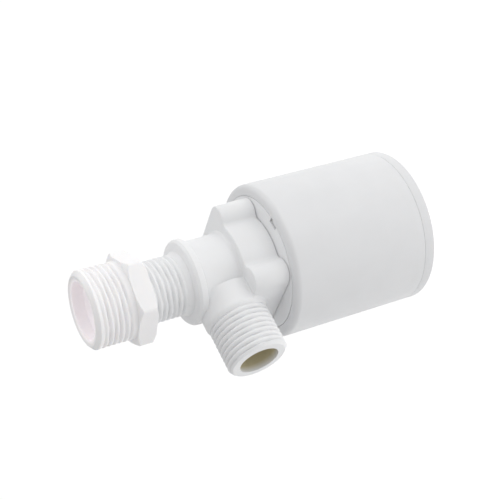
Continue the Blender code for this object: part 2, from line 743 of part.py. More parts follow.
    def tilt_to_rest(self, obj):
        """Places a piece made about the fulcrum, in its closed pose, where it hangs with the float down."""
        obj.rotation_mode = "XYZ"
        obj.rotation_euler.y = -LEVER_SWING
        obj.location = (FULCRUM_X, 0.0, -FULCRUM_DEPTH)

    def hanger_joint(self):
        """The lever's end hole in the closed pose, as (u, w)."""
        half = LEVER_SWING / 2
        return LEVER_ARM * math.cos(half), LEVER_ARM * math.sin(half)

    def pilot_lever(self):
        end_u, end_w = self.hanger_joint()
        eye = EAR_RADIUS + 0.3 * MM
        arc = [math.radians(a) for a in range(-81, -271, -15)]
        outline = [(LEVER_TOP * math.cos(a), LEVER_TOP * math.sin(a)) for a in arc]
        outline += [(0.0, LEVER_TOP), (9.5 * MM, LEVER_TOP)]
        arc = [math.radians(a) for a in range(140, -82, -13)]
        outline += [(end_u + eye * math.cos(a), end_w + eye * math.sin(a)) for a in arc]
        flipped = [(-u, w) for u, w in reversed(outline)]
        lever = plate("pilot_lever", flipped, 2 * LEVER_HALF_WIDTH, self.parts)
        turn_upright(lever)
        combine(lever, self.lever_bore("lever_bore", 0.0, 0.0, PIN_RADIUS + PIN_PLAY))
        combine(lever, self.lever_bore("lever_end_slot", end_u, end_w, PIN_RADIUS + SLOT_PLAY))
        combine(lever, self.pad_pocket())
        self.tilt_to_rest(lever)
        return self.finish(lever, "acetal")

    def lever_bore(self, name, u, w, radius):
        reach = LEVER_HALF_WIDTH + 2.0 * MM
        bore = rod(name, radius, (0.0, -reach, 0.0), (0.0, reach, 0.0), self.tools)
        return self.carried(bore, -u, w)

    def pad_pocket(self):
        pocket = rod(
            "pad_pocket",
            PAD_RADIUS + GAP,
            (0.0, 0.0, -PAD_SEAT),
            (0.0, 0.0, 3.0 * MM),
            self.tools,
        )
        return self.carried(pocket, -FULCRUM_X, LEVER_TOP)

    def carried(self, obj, x, z):
        """Moves a helper made about the fulcrum in the closed pose to where the lever holds it at rest."""
        bake(obj)
        for vertex in obj.data.vertices:
            vertex.co += Vector((x, 0.0, z))
        self.tilt_to_rest(obj)
        return obj

    def pilot_pad(self):
        low = LEVER_TOP - PAD_SEAT + GAP
        pad = rod("pilot_pad", PAD_RADIUS, (0.0, 0.0, low), (0.0, 0.0, PAD_TOP), self.parts)
        self.carried(pad, -FULCRUM_X, 0.0)
        return self.finish(pad, "black_rubber")

    def pin(self, name, x, depth):
        half = EAR_OUTER + 0.4 * MM
        pin = rod(name, PIN_RADIUS, (x, -half, -depth), (x, half, -depth), self.parts)
        return self.finish(pin, "stainless")

    # Float

    def hanger_place(self):
        """The hanger pin's x and depth at rest."""
        half = LEVER_SWING / 2
        return FULCRUM_X - LEVER_ARM * math.cos(half), FULCRUM_DEPTH + LEVER_ARM * math.sin(half)

    def float_hanger(self):
        x, depth = self.hanger_place()
        foot_top = WELL_FLOOR - GAP - 1.6 * MM
        low = (x - 5.0 * MM, -7.0 * MM, -(WELL_FLOOR - GAP))
        high = (x + 5.0 * MM, 7.0 * MM, -foot_top)
        hanger = block("float_hanger", low, high, self.parts)
        for side in (-1, 1):
            corners = [
                (x - 1.6 * EAR_RADIUS, -(foot_top + 0.8 * MM), 0),
                (x + 1.6 * EAR_RADIUS, -(foot_top + 0.8 * MM), 0),
                (x + EAR_RADIUS, -(depth - EAR_RADIUS), 0.95 * EAR_RADIUS),
                (x - EAR_RADIUS, -(depth - EAR_RADIUS), 0.95 * EAR_RADIUS),
            ]
            combine(hanger, self.ear(f"hanger_ear_{side + 2}", corners, side), "UNION")
        combine(hanger, self.pin_hole("hanger_hole", x, depth))
        return self.finish(hanger, "acetal")

    def float_well_cup(self):
        corners = [
            (0.0, WELL_FLOOR, 0),
            (WELL_BORE, WELL_FLOOR, 0),
            (WELL_BORE, FLOAT_LIP_BOTTOM + GAP, 0),
            (WELL_RADIUS, FLOAT_LIP_BOTTOM + GAP, 0),
            (WELL_RADIUS, WELL_BOTTOM, 1.0 * MM),
            (0.0, WELL_BOTTOM, 0),
        ]
        cup = solid("float_well_cup", corners, self.parts)
        for i, angle in enumerate(KEY_ANGLES):
            low = (KEY_RADIUS, -KEY_WIDTH / 2, -KEY_BOTTOM)
            high = (WELL_BORE + 0.7 * MM, KEY_WIDTH / 2, -(FLOAT_LIP_BOTTOM + 1.0 * MM))
            key = block(f"key_rib_{i + 1}", low, high, self.tools)
            key.rotation_euler.z = angle
            combine(cup, key, "UNION")
            low = (KEY_RADIUS, -KEY_WIDTH / 2, -(FLOAT_LIP_BOTTOM + 3.0 * MM))
            high = (FLOAT_LIP_RADIUS - GAP, KEY_WIDTH / 2, -KEY_TOP)
            nose = block(f"key_nose_{i + 1}", low, high, self.tools)
            nose.rotation_euler.z = angle
            combine(cup, nose, "UNION")
        return self.finish(cup, "white_plastic")

    def float_shell(self):
        corners = [
            (FLOAT_LIP_RADIUS, FLOAT_TOP, 0.9 * MM),
            (FLOAT_RADIUS, FLOAT_TOP, 1.8 * MM),
            (FLOAT_RADIUS, FLOAT_SEAM - GAP / 2, 0),
            (FLOAT_BORE, FLOAT_SEAM - GAP / 2, 0),
            (FLOAT_BORE, FLOAT_LIP_BOTTOM, 0),
            (FLOAT_LIP_RADIUS, FLOAT_LIP_BOTTOM, 0),
        ]
        return self.finish(turned("float_shell", corners, self.parts, FLOAT_SIDES), "white_plastic")

    def float_bottom_cap(self):
        spigot_top = FLOAT_SEAM - 3.0 * MM
        spigot_radius = FLOAT_BORE - GAP
        floor = FLOAT_BOTTOM - 2.0 * MM
        corners = [
            (0.0, floor, 0),
            (spigot_radius - 1.5 * MM, floor, 0),
            (spigot_radius - 1.5 * MM, spigot_top, 0),
            (spigot_radius, spigot_top, 0),
            (spigot_radius, FLOAT_SEAM + GAP / 2, 0),
            (FLOAT_RADIUS, FLOAT_SEAM + GAP / 2, 0),
            (FLOAT_RADIUS, FLOAT_BOTTOM, 0.6 * MM),
            (0.0, FLOAT_BOTTOM, 0),
        ]
        return self.finish(solid("float_bottom_cap", corners, self.parts, FLOAT_SIDES), "white_plastic")

    def everything(self):
        self.adapter_bushing()
        self.adapter_seal_washer()
        self.valve_housing()
        self.bonnet_cover()
        for i, angle in enumerate(BOSS_ANGLES):
            self.cover_screw(i, angle)
        self.diaphragm()
        self.diaphragm_plate()
        self.diaphragm_guide()
        self.metering_needle()
        self.diaphragm_spring()
        self.pilot_seat()
        self.pilot_lever()
        self.pilot_pad()
        self.pin("lever_pin", FULCRUM_X, FULCRUM_DEPTH)
        self.pin("hanger_pin", *self.hanger_place())
        self.float_hanger()
        self.float_well_cup()
        self.float_shell()
        self.float_bottom_cap()


def bake(obj):
    """Moves an object's own placement into its mesh."""
    bpy.context.view_layer.update()
    obj.data.transform(obj.matrix_world)
    obj.rotation_mode = "XYZ"
    obj.rotation_euler = (0.0, 0.0, 0.0)
    obj.location = (0.0, 0.0, 0.0)


def turn_upright(obj):
    """Turns a plate made in XY so that its outline stands in XZ."""
    obj.rotation_euler.x = math.pi / 2
    bake(obj)


def main():
    clear_scene()
    Build().everything()


main()
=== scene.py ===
"""Float valve: finished surfaces, materials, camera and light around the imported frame.

Lengths are metres. "Depth" is the distance down from the bushing's inlet face, so z = -depth. Turned pieces
are sleeves: a cylinder primitive cut into rings, whose rings are then set to their places along a profile.
"""

import logging
import math
from dataclasses import dataclass
from enum import Enum
from typing import Sequence

import bpy
import numpy as np
from mathutils import Matrix, Vector


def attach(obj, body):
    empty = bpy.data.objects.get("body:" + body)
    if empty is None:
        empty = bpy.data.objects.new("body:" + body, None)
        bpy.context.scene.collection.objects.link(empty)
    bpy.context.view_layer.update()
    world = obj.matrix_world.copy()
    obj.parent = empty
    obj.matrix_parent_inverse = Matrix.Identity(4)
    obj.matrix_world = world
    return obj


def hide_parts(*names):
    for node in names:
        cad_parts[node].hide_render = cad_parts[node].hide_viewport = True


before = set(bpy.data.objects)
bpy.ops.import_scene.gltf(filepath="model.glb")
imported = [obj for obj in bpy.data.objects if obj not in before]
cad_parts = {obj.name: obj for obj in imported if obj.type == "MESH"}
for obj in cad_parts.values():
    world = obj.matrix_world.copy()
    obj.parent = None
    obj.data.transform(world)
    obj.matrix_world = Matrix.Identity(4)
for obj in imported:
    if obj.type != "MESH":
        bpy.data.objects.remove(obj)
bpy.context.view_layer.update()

LOG = logging.getLogger("float_valve")

MM = 0.001
TURN = 2 * math.pi

# Parallel pipe threads, 14 to the inch
PITCH = 1.814 * MM
THREAD_DEPTH = 1.162 * MM
HALF_INCH = 10.478 * MM
THREE_QUARTER_INCH = 13.22 * MM
RINGS_PER_PITCH = 16

# The side inlet, and the zones in which a material paints light or shade into a bore (brownish painted shade
# deep in the side inlet, glow in the bushing), each a little wider than its bore
BRANCH_DEPTH = 47.69 * MM
BRANCH_REACH = 34.98 * MM
SIDE_BORE_SHADE_ZONE = 8.0 * MM
SIDE_BORE_SHADE_LENGTH = 30.0 * MM
BUSHING_BORE_ZONE = 11.0 * MM

Corner = tuple[float, float, float]
Piece = bpy.types.Object


# Shader maths


class Value:
    """A socket that carries a number and takes part in Python arithmetic."""

    def __init__(self, graph: "Graph", socket: bpy.types.NodeSocket) -> None:
        """Wraps a socket.

        Args:
            graph: The material graph that the socket is in.
            socket: An output socket.
        """
        self.graph = graph
        self.socket = socket

    def _maths(self, operation: str, *operands: object) -> "Value":
        """Adds one Math node.

        Args:
            operation: The node's operation.
            operands: Its inputs in order.

        Returns:
            The node's result.
        """
        return self.graph.node("ShaderNodeMath", {"operation": operation}, dict(enumerate(operands)))

    def __add__(self, other: object) -> "Value":
        """Sum."""
        return self._maths("ADD", self, other)

    def __mul__(self, other: object) -> "Value":
        """Product."""
        return self._maths("MULTIPLY", self, other)


class Graph:
    """The node graph of one material."""

    def __init__(self, name: str) -> None:
        """Starts an empty material.

        Args:
            name: The material's name.
        """
        self.material = bpy.data.materials.new(name)
        self.material.use_nodes = True
        self.tree = self.material.node_tree
        self.shader = self.tree.nodes["Principled BSDF"]

    def node(
        self, kind: str, settings: dict[str, object], inputs: dict[object, object], output: object = 0
    ) -> Value:
        """Adds a node.

        Args:
            kind: The node's type.
            settings: Its properties, set first. Ramp stops go under "stops".
            inputs: A value or a link for each input, by name or number.
            output: The output wanted, by name or number.

        Returns:
            The wanted output.
        """
        made = self.tree.nodes.new(kind)
        for key, value in settings.items():
            if key == "stops":
                self._stops(made.color_ramp, value)
            else:
                setattr(made, key, value)
        for key, value in inputs.items():
            self.feed(made.inputs[key], value)
        return Value(self, made.outputs[output])

    @staticmethod
    def _stops(ramp: bpy.types.ColorRamp, stops: Sequence[tuple[float, float]]) -> None:
        """Sets a grey ramp.

        Args:
            ramp: The ramp.
            stops: Pairs of position and grey level.
        """
        while len(ramp.elements) < len(stops):
            ramp.elements.new(1.0)
        for element, (position, level) in zip(ramp.elements, stops):
            element.position = position
            element.color = (level, level, level, 1.0)

    def feed(self, socket: bpy.types.NodeSocket, value: object) -> None:
        """Links or sets an input.

        Args:
            socket: The input.
            value: A Value to link, or a constant.
        """
        if isinstance(value, Value):
            self.tree.links.new(value.socket, socket)
        else:
            socket.default_value = value

    def coordinates(self) -> Value:
        """Object coordinates."""
        return self.node("ShaderNodeTexCoord", {}, {}, "Object")

    def axis(self, where: Value, letter: str) -> Value:
        """One coordinate of a point.

        Args:
            where: Coordinates.
            letter: X, Y or Z.

        Returns:
            The coordinate.
        """
        return self.node("ShaderNodeSeparateXYZ", {}, {"Vector": where}, letter)

    def noise(self, where: Value, size: float, detail: float = 2.0) -> Value:
        """Noise whose features have a real size.

        Args:
            where: Coordinates.
            size: Feature size in metres.
            detail: Octaves.

        Returns:
            The noise, from 0 to 1.
        """
        return self.node("ShaderNodeTexNoise", {}, {"Vector": where, "Scale": 1.0 / size, "Detail": detail})

    def ramp(self, factor: Value, stops: Sequence[tuple[float, float]]) -> Value:
        """A grey ramp.

        Args:
            factor: Where on the ramp.
            stops: Pairs of position and grey level.

        Returns:
            The level.
        """
        return self.node("ShaderNodeValToRGB", {"stops": stops}, {"Fac": factor})

    def mix(self, factor: Value, first: tuple, second: tuple) -> Value:
        """A mix of two colours.

        Args:
            factor: Share of the second.
            first: Colour at 0.
            second: Colour at 1.

        Returns:
            The colour.
        """
        inputs = {"Factor": factor, 6: first, 7: second}
        return self.node("ShaderNodeMix", {"data_type": "RGBA"}, inputs, 2)

    def bump(self, height: Value, distance: float) -> Value:
        """A bump.

        Args:
            height: Heights from 0 to 1.
            distance: Height of 1 in metres.

        Returns:
            The normal.
        """
        return self.node("ShaderNodeBump", {}, {"Height": height, "Strength": 1.0, "Distance": distance})

    def set(self, **values: object) -> None:
        """Sets or links inputs of the shader.

        Args:
            values: Input names, with _ for a space.
        """
        for key, value in values.items():
            self.feed(self.shader.inputs[key.replace("_", " ")], value)


def tint(colour: tuple[float, float, float], scale: float = 1.0) -> tuple[float, float, float, float]:
    """A colour with alpha, made darker or lighter.

    Args:
        colour: Red, green and blue.
        scale: Factor on each.

    Returns:
        The colour with an alpha of 1.
    """
    return (colour[0] * scale, colour[1] * scale, colour[2] * scale, 1.0)


def side_bore_shade_mask(g: Graph, where: Value) -> Value:
    """Where a point is deep in the bore of the side inlet, where brownish shade is painted.

    Args:
        g: The material's graph.
        where: Object coordinates.

    Returns:
        1 deep in the bore, 0 outside.
    """
    y = g.axis(where, "Y")
    z = g.axis(where, "Z") + BRANCH_DEPTH
    away = (y * y + z * z) * (0.5 / SIDE_BORE_SHADE_ZONE**2)
    near_axis = g.ramp(away, [(0.5, 1.0), (0.54, 0.0)])
    inwards = (g.axis(where, "X") + BRANCH_REACH) * (1.0 / SIDE_BORE_SHADE_LENGTH)
    deep = g.ramp(inwards, [(0.01, 0.0), (0.08, 1.0), (0.9, 1.0), (1.0, 0.0)])
    return near_axis * deep


def bushing_bore_mask(g: Graph, where: Value) -> Value:
    """Where a point is inside the bushing, whose thin wall lets light through.

    Args:
        g: The material's graph.
        where: Object coordinates.

    Returns:
        1 in the bore, 0 outside.
    """
    x, y = g.axis(where, "X"), g.axis(where, "Y")
    away = (x * x + y * y) * (0.5 / BUSHING_BORE_ZONE**2)
    return g.ramp(away, [(0.42, 1.0), (0.5, 0.0)])


@dataclass(frozen=True)
class MouldedPlastic:
    """Injection-moulded plastic: faint flow clouding, fine tool texture and soft shine.

    The bore colour (inside) is painted shade, brownish and darker, deep in the side inlet's bore. glow stands
    for light that comes through the bushing's wall.
    """

    colour: tuple[float, float, float]
    roughness: float
    translucence: float = 0.12
    scatter: float = 0.8 * MM
    grain: float = 0.35 * MM
    grain_height: float = 0.004 * MM
    cloud: float = 9.0 * MM
    speck: float = 0.5 * MM
    wave: float = 3.5 * MM
    stain: float = 0.975
    inside: tuple[float, float, float] | None = None
    glow: tuple[float, float, float] | None = None

    def build(self, name: str) -> bpy.types.Material:
        """Makes the material.

        Args:
            name: Its name.

        Returns:
            The material.
        """
        g = Graph(name)
        where = g.coordinates()
        cloud = g.ramp(g.noise(where, self.cloud, 3.0), [(0.35, 0.0), (0.65, 1.0)])
        speck = g.ramp(g.noise(where, self.speck, 4.0), [(0.62, 0.0), (0.72, 1.0)])
        grain = g.noise(where, self.grain, 3.0)
        waves = g.noise(where, self.wave)
        colour = g.mix(cloud * 0.7 + speck * 0.3, tint(self.colour), tint(self.colour, self.stain))
        # Painted shade: a darker brownish colour that deepens into the side inlet's bore.
        if self.inside:
            colour = g.mix(side_bore_shade_mask(g, where), colour, tint(self.inside))
        if self.glow:
            through = g.mix(bushing_bore_mask(g, where), tint(self.glow, 0.0), tint(self.glow))
            g.set(Emission_Color=through, Emission_Strength=1.0)
        g.set(
            Base_Color=colour,
            Roughness=cloud * 0.05 + grain * 0.06 + (self.roughness - 0.05),
            Normal=g.bump(grain * 0.4 + waves * 1.6, self.grain_height),
            Subsurface_Weight=self.translucence,
            Subsurface_Radius=(1.0, 0.9, 0.8),
            Subsurface_Scale=self.scatter,
            IOR=1.49,
        )
        return g.material


@dataclass(frozen=True)
class MouldedRubber:
    """Black seal rubber with a dusty bloom."""

    colour: tuple[float, float, float]
    bloom: float = 2.5 * MM
    dust: float = 2.2
    grain: float = 0.15 * MM
    grain_height: float = 0.01 * MM
    roughness: float = 0.62

    def build(self, name: str) -> bpy.types.Material:
        """Makes the material.

        Args:
            name: Its name.

        Returns:
            The material.
        """
        g = Graph(name)
        where = g.coordinates()
        bloom = g.ramp(g.noise(where, self.bloom, 5.0), [(0.45, 0.0), (0.75, 1.0)])
        grain = g.noise(where, self.grain)
        g.set(
            Base_Color=g.mix(bloom, tint(self.colour), tint(self.colour, self.dust)),
            Roughness=bloom * 0.15 + self.roughness,
            Normal=g.bump(grain, self.grain_height),
        )
        return g.material


@dataclass(frozen=True)
class TurnedSteel:
    """Stainless steel with fine drawing marks."""

    colour: tuple[float, float, float]
    mark: float = 0.6 * MM
    mark_stretch: float = 14.0
    mark_height: float = 0.003 * MM
    smudge: float = 2.0 * MM
    roughness: float = 0.16

    def build(self, name: str) -> bpy.types.Material:
        """Makes the material.

        Args:
            name: Its name.

        Returns:
            The material.
        """
        g = Graph(name)
        where = g.coordinates()
        along = g.node("ShaderNodeMapping", {}, {"Vector": where, "Scale": (1.0, 1.0, self.mark_stretch)})
        marks = g.noise(along, self.mark, 4.0)
        smudge = g.noise(where, self.smudge)
        g.set(
            Base_Color=g.mix(smudge, tint(self.colour), tint(self.colour, 0.8)),
            Metallic=1.0,
            Roughness=marks * 0.18 + smudge * 0.08 + self.roughness,
            Normal=g.bump(marks, self.mark_height),
        )
        return g.material


class Finish(Enum):
    """The finishes of the object: a name and the slot of the solid model that it belongs to."""

    HOUSING = ("moulded_white", "white_plastic")
    # The float's white is the housing's plastic made darker: painted shade for the less light that falls on
    # the float.
    FLOAT = ("moulded_float_white_painted_shade", "white_plastic")
    BRIGHT = ("moulded_bright_white", "bright_plastic")
    NATURAL = ("natural_acetal", "acetal")
    RUBBER = ("seal_rubber", "black_rubber")
    STEEL = ("stainless_steel", "stainless")


class Palette:
    """All finishes as materials."""

    def __init__(self) -> None:
        """Makes every material once."""
        recipes = {
            # The housing's inside colour is painted shade, brownish, deep in the side inlet's bore.
            Finish.HOUSING: MouldedPlastic((0.862, 0.866, 0.874), 0.42, inside=(0.62, 0.56, 0.38)),
            # Painted shade: the housing's white plastic darkened for the float.
            Finish.FLOAT: MouldedPlastic((0.770, 0.774, 0.784), 0.42),
            Finish.BRIGHT: MouldedPlastic(
                (0.955, 0.940, 0.950), 0.36, translucence=0.4, glow=(0.175, 0.145, 0.157)
            ),
            Finish.NATURAL: MouldedPlastic((0.74, 0.74, 0.70), 0.44, translucence=0.25),
            Finish.RUBBER: MouldedRubber((0.022, 0.022, 0.022)),
            Finish.STEEL: TurnedSteel((0.60, 0.60, 0.58)),
        }
        self.materials = {finish: recipe.build(finish.value[0]) for finish, recipe in recipes.items()}

    def dress(self, piece: Piece, finish: Finish) -> None:
        """Gives a piece one finish all over.

        Args:
            piece: The piece.
            finish: Its finish.
        """
        piece.data.materials.clear()
        piece.data.materials.append(self.materials[finish])


# Modelling


def start_clean() -> None:
    """Leaves edit mode and deselects everything."""
    if bpy.context.object and bpy.context.object.mode != "OBJECT":
        bpy.ops.object.mode_set(mode="OBJECT")
    bpy.ops.object.select_all(action="DESELECT")


def pick(piece: Piece) -> None:
    """Makes a piece the only one selected, and active.

    Args:
        piece: The piece.
    """
    start_clean()
    piece.select_set(True)
    bpy.context.view_layer.objects.active = piece


def apply_all(piece: Piece) -> None:
    """Applies every modifier of a piece in order.

    Args:
        piece: The piece.
    """
    pick(piece)
    for modifier in list(piece.modifiers):
        bpy.ops.object.modifier_apply(modifier=modifier.name)


def smooth(piece: Piece, degrees: float = 35.0) -> None:
    """Shades a piece smooth where its faces meet under an angle.

    Args:
        piece: The piece.
        degrees: The angle.
    """
    pick(piece)
    bpy.ops.object.shade_smooth_by_angle(angle=math.radians(degrees), keep_sharp_edges=False)


def settle(piece: Piece) -> None:
    """Moves an object's placement into its mesh.

    Args:
        piece: The piece.
    """
    pick(piece)
    bpy.ops.object.transform_apply(location=True, rotation=True, scale=True)


def cut(piece: Piece, tool: Piece, operation: str = "DIFFERENCE") -> None:
    """A Boolean that uses its tool up.

    Args:
        piece: What is cut or joined.
        tool: The cutter.
        operation: The Boolean's operation.
    """
    boolean = piece.modifiers.new("boolean", "BOOLEAN")
    boolean.object = tool
    boolean.operation = operation
    apply_all(piece)
    bpy.data.objects.remove(tool)


def bar(radius: float, start: Sequence[float], end: Sequence[float], sides: int = 64) -> Piece:
    """A cylinder primitive between two points.

    Args:
        radius: Its radius.
        start: One end.
        end: The other end.
        sides: Number of sides.

    Returns:
        The cylinder, with its placement in its mesh.
    """
    run = Vector(end) - Vector(start)
    start_clean()
    bpy.ops.mesh.primitive_cylinder_add(
        vertices=sides,
        radius=radius,
        depth=run.length,
        location=(Vector(start) + Vector(end)) / 2,
        rotation=run.to_track_quat("Z", "Y").to_euler(),
    )
    made = bpy.context.object
    settle(made)
    return made


def brick(low: Sequence[float], high: Sequence[float], turn: float = 0.0) -> Piece:
    """A box primitive between two corners, turned about Z.

    Args:
        low: Lowest corner.
        high: Highest corner.
        turn: Turn about Z.

    Returns:
        The box, with its placement in its mesh.
    """
    low, high = Vector(low), Vector(high)
    start_clean()
    bpy.ops.mesh.primitive_cube_add(size=1.0, location=(low + high) / 2, scale=high - low)
    made = bpy.context.object
    settle(made)
    made.rotation_euler.z = turn
    settle(made)
    return made


def rounded(corners: Sequence[Corner], steps: int = 6) -> list[tuple[float, float]]:
    """Turns each corner that has a radius into a tangent arc.

    Args:
        corners: Corners of (radius from the axis, depth, rounding) round a closed profile.
        steps: Steps in an arc.

    Returns:
        The profile's points.
    """
    points = []
    for i, (x, y, radius) in enumerate(corners):
        at = Vector((x, y))
        if not radius:
            points.append((x, y))
            continue
        back = (Vector(corners[i - 1][:2]) - at).normalized()
        ahead = (Vector(corners[(i + 1) % len(corners)][:2]) - at).normalized()
        half = back.angle(ahead) / 2
        centre = at + (back + ahead).normalized() * radius / math.sin(half)
        first = at + back * radius / math.tan(half) - centre
        sweep = -first.angle_signed(at + ahead * radius / math.tan(half) - centre)
        for k in range(steps + 1):
            cos, sin = math.cos(sweep * k / steps), math.sin(sweep * k / steps)
            away = Vector((first.x * cos - first.y * sin, first.x * sin + first.y * cos))
            points.append((centre.x + away.x, centre.y + away.y))
    return points


def circle_ring(angles: np.ndarray, radius: np.ndarray | float, depth: np.ndarray | float) -> np.ndarray:
    """One ring of a sleeve.

    Args:
        angles: The columns' angles about Z.
        radius: Radius, for the ring or for each column.
        depth: Depth, for the ring or for each column.

    Returns:
        Points, one row for each column.
    """
    radius = radius + 0.0 * angles
    return np.stack([radius * np.cos(angles), radius * np.sin(angles), -(depth + 0.0 * angles)], axis=1)


def sleeve(name: str, rings: Sequence[np.ndarray]) -> Piece:
    """A closed body of rings.

    A cylinder primitive without caps is cut into rings, its ends are bridged, and each ring's points are set
    to their places.

    Args:
        name: The piece's name.
        rings: Points of each ring, all of the same count.

    Returns:
        The piece.
    """
    rows, columns = len(rings), len(rings[0])
    start_clean()
    bpy.ops.mesh.primitive_cylinder_add(vertices=columns, radius=1.0, depth=2.0, end_fill_type="NOTHING")
    piece = bpy.context.object
    piece.name = piece.data.name = name
    bpy.ops.object.mode_set(mode="EDIT")
    bpy.ops.mesh.select_mode(type="EDGE")
    bpy.ops.mesh.select_all(action="DESELECT")
    bpy.ops.object.mode_set(mode="OBJECT")
    heights = np.array([v.co.z for v in piece.data.vertices])
    for edge in piece.data.edges:
        a, b = edge.vertices
        edge.select = abs(heights[a] - heights[b]) > 1.0
    bpy.ops.object.mode_set(mode="EDIT")
    bpy.ops.mesh.subdivide(number_cuts=rows - 2)
    bpy.ops.mesh.select_all(action="DESELECT")
    bpy.ops.mesh.select_non_manifold()
    bpy.ops.mesh.bridge_edge_loops()
    bpy.ops.object.mode_set(mode="OBJECT")
    flat = np.empty(3 * len(piece.data.vertices))
    piece.data.vertices.foreach_get("co", flat)
    at = flat.reshape(-1, 3)
    row = np.rint((1.0 - at[:, 2]) / 2.0 * (rows - 1)).astype(int)
    column = np.rint(np.arctan2(at[:, 1], at[:, 0]) / TURN * columns).astype(int) % columns
    piece.data.vertices.foreach_set("co", np.array(rings)[row, column].ravel())
    piece.data.update()
    bpy.ops.object.mode_set(mode="EDIT")
    bpy.ops.mesh.select_all(action="SELECT")
    bpy.ops.mesh.normals_make_consistent(inside=False)
    bpy.ops.object.mode_set(mode="OBJECT")
    return piece


def even_angles(columns: int, start: float = 0.0) -> np.ndarray:
    """Even column angles.

    Args:
        columns: Their number.
        start: The first.

    Returns:
        The angles.
    """
    return start + TURN * np.arange(columns) / columns


def turned(name: str, corners: Sequence[Corner], columns: int = 160) -> Piece:
    """A turned piece whose profile keeps clear of the axis.

    Args:
        name: The piece's name.
        corners: Its closed profile.
        columns: Number of columns.

    Returns:
        The piece.
    """
    angles = even_angles(columns)
    return sleeve(name, [circle_ring(angles, r, d) for r, d in rounded(corners)])


@dataclass
class Thread:
    """A helical thread with round crests and narrow grooves, cut into a sleeve's radius."""

    crest: float
    start: float
    end: float
    fade_in: float = PITCH
    fade_out: float = PITCH
    depth: float = THREAD_DEPTH
    fullness: float = 2.4

    def radius(self, angles: np.ndarray, depth: np.ndarray | float) -> np.ndarray:
        """Radius of the threaded surface.

        Args:
            angles: Columns' angles.
            depth: Depth of the ring.

        Returns:
            A radius for each column.
        """
        phase = np.mod(depth / PITCH + angles / TURN, 1.0)
        tooth = 1.0 - np.abs(2.0 * phase - 1.0) ** self.fullness
        run_in = np.clip((depth - self.start) / self.fade_in, 0, 1)
        run_out = np.clip((self.end - depth) / self.fade_out, 0, 1)
        return self.crest - self.depth * (1.0 - tooth) * (run_in * run_out)

    def rings(self, angles: np.ndarray, first: float, last: float) -> list[tuple[np.ndarray, float]]:
        """Rings that are close enough for the thread's shape.

        Args:
            angles: Columns' angles.
            first: Depth of the first ring.
            last: Depth of the last ring.

        Returns:
            Pairs of radii and depth.
        """
        count = max(2, round(abs(last - first) / PITCH * RINGS_PER_PITCH))
        depths = np.linspace(first, last, count + 1)
        return [(self.radius(angles, d), float(d)) for d in depths]


# Sub-assemblies


